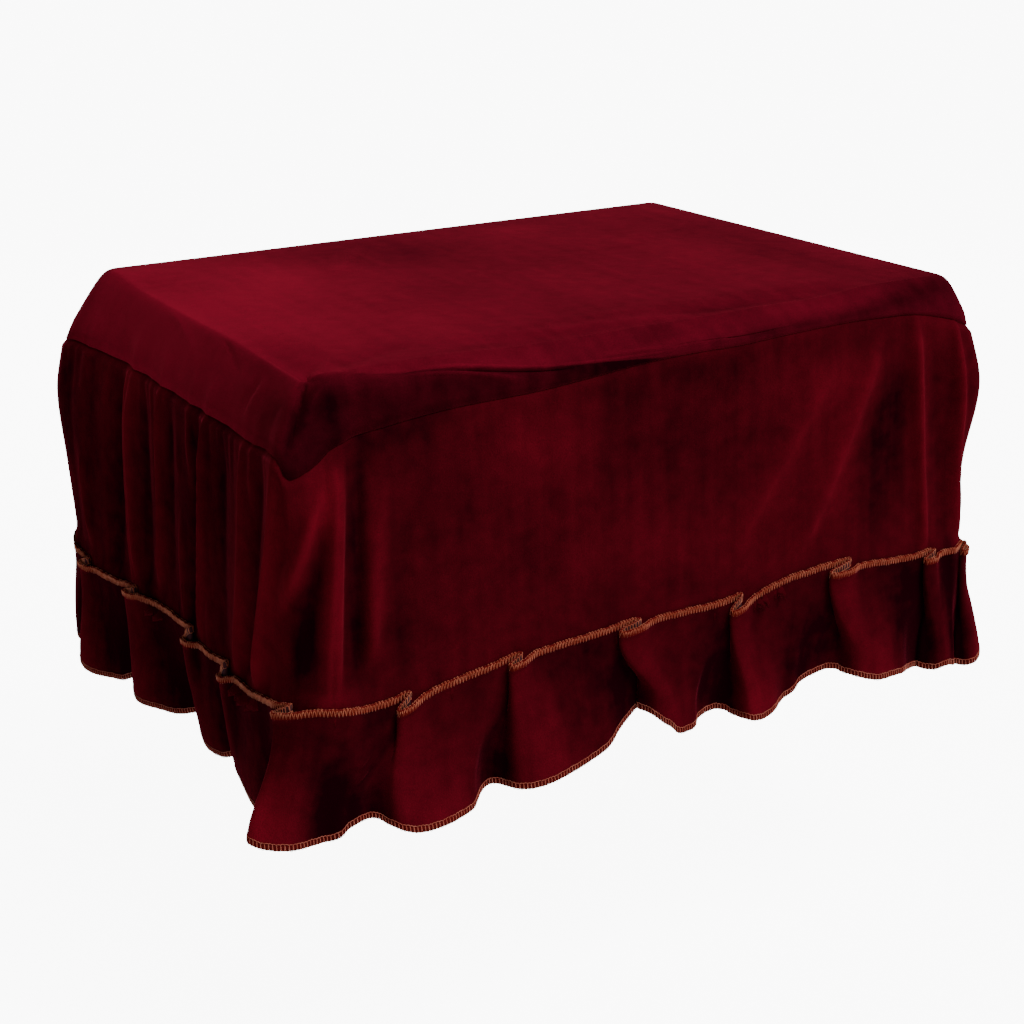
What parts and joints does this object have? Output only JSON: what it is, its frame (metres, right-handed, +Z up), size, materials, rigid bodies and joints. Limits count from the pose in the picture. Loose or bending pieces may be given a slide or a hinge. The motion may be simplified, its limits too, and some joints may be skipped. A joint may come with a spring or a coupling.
{
  "type": "piano stool cover",
  "caption": "Fitted dark red velvet cover for a rectangular piano stool, with a skirt and a pleated ruffle, open below and hollow for the seat.",
  "frame": {"origin": "middle of the seat that the cover rests on, at the underside of the top panel", "axes": "+X along the long side, the front faces -Y, +Z up"},
  "size_m": [0.6186, 0.4846, 0.3068],
  "materials": {
    "top_panel": "short velvet pile",
    "skirt": "short velvet pile",
    "ruffle": "short velvet pile"
  },
  "bodies": {
    "root": {"top_panel": "top_panel", "skirt": "skirt", "ruffle": "ruffle"}
  },
  "joints": []
}
